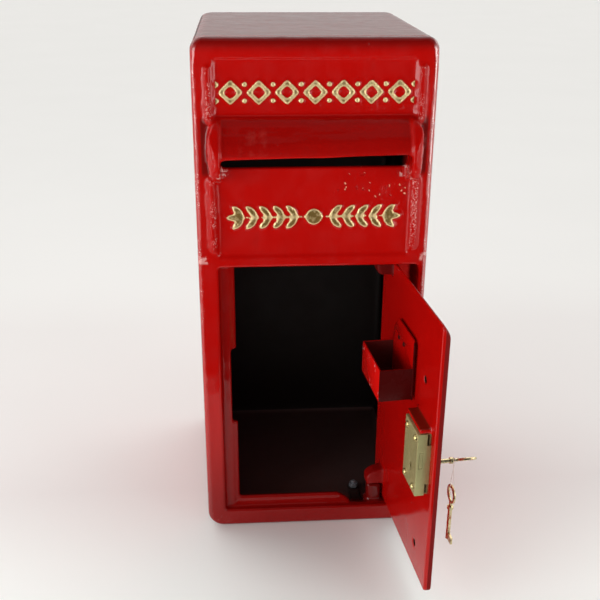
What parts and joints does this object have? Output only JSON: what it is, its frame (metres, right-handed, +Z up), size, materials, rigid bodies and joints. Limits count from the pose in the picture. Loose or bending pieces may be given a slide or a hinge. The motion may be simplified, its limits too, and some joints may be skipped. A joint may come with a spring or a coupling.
{
  "type": "cast iron letter box",
  "caption": "Free-standing red cast iron box with a hooded letter slot, a hinged locking door, a brass lever lock with its keys and a folded pocket inside the door.",
  "frame": {"origin": "centre of the box's base, on the surface it stands on", "axes": "+Z up, front and letter slot towards -Y, +X to the right seen from the front"},
  "size_m": [0.2822, 0.4189, 0.57],
  "materials": {
    "red_cast_iron": "thick gloss red enamel over rough cast iron",
    "red_sheet": "gloss red paint on folded sheet steel",
    "zinc_steel": "zinc plated",
    "lock_brass": "satin pressed brass",
    "key_brass": "bright cast brass",
    "thread": "thin pale thread"
  },
  "bodies": {
    "case": {"body_shell": "red_cast_iron", "front_frame": "red_cast_iron", "upper_bolts": "zinc_steel", "floor_bolts": "zinc_steel", "floor_washers": "zinc_steel", "floor_nuts": "zinc_steel", "hinge_pin_lower": "zinc_steel", "hinge_pin_upper": "zinc_steel"},
    "door": {"door": "red_cast_iron", "plate_pocket": "red_sheet", "pocket_spacers": "zinc_steel", "pocket_rivets": "red_sheet", "lock_plate": "lock_brass", "lock_case": "lock_brass", "lock_screws": "lock_brass", "lever_post": "lock_brass"},
    "lever_pack": {"levers": "lock_brass", "lever_springs": "zinc_steel"},
    "bolt": {"lock_bolt": "lock_brass"},
    "key": {"key": "key_brass"},
    "spare": {"spare_key": "key_brass", "key_thread": "thread", "thread_knot": "thread"}
  },
  "joints": [
    {"name": "door_hinge", "type": "hinge", "parent": "case", "child": "door", "pos_m": [0.078, -0.1125, 0.18], "axis": [0, 0, 1], "range_deg": [-96, 24]},
    {"name": "key_turn", "type": "hinge", "parent": "door", "child": "key", "pos_m": [0.11191, -0.25815, 0.1665], "axis": [0.9945, 0.1045, 0], "range_deg": [0, 180]},
    {"name": "bolt_throw", "type": "slide", "parent": "door", "child": "bolt", "axis": [0.1045, -0.9945, 0], "range_m": [0, 0.0091]},
    {"name": "lever_lift", "type": "hinge", "parent": "door", "child": "lever_pack", "pos_m": [0.09762, -0.24176, 0.186], "axis": [-0.9945, -0.1045, 0], "range_deg": [0, 6], "stiffness_Nm_per_rad": 0.002, "springref_deg": -11.46},
    {"name": "spare_swing", "type": "hinge", "parent": "door", "child": "spare", "pos_m": [0.13638, -0.25558, 0.1665], "axis": [0.9945, 0.1045, 0], "range_deg": [-60, 60]}
  ],
  "couplings": [
    {"joint": "bolt_throw", "follows": "key_turn", "m_per_rad": 0.002865}
  ]
}
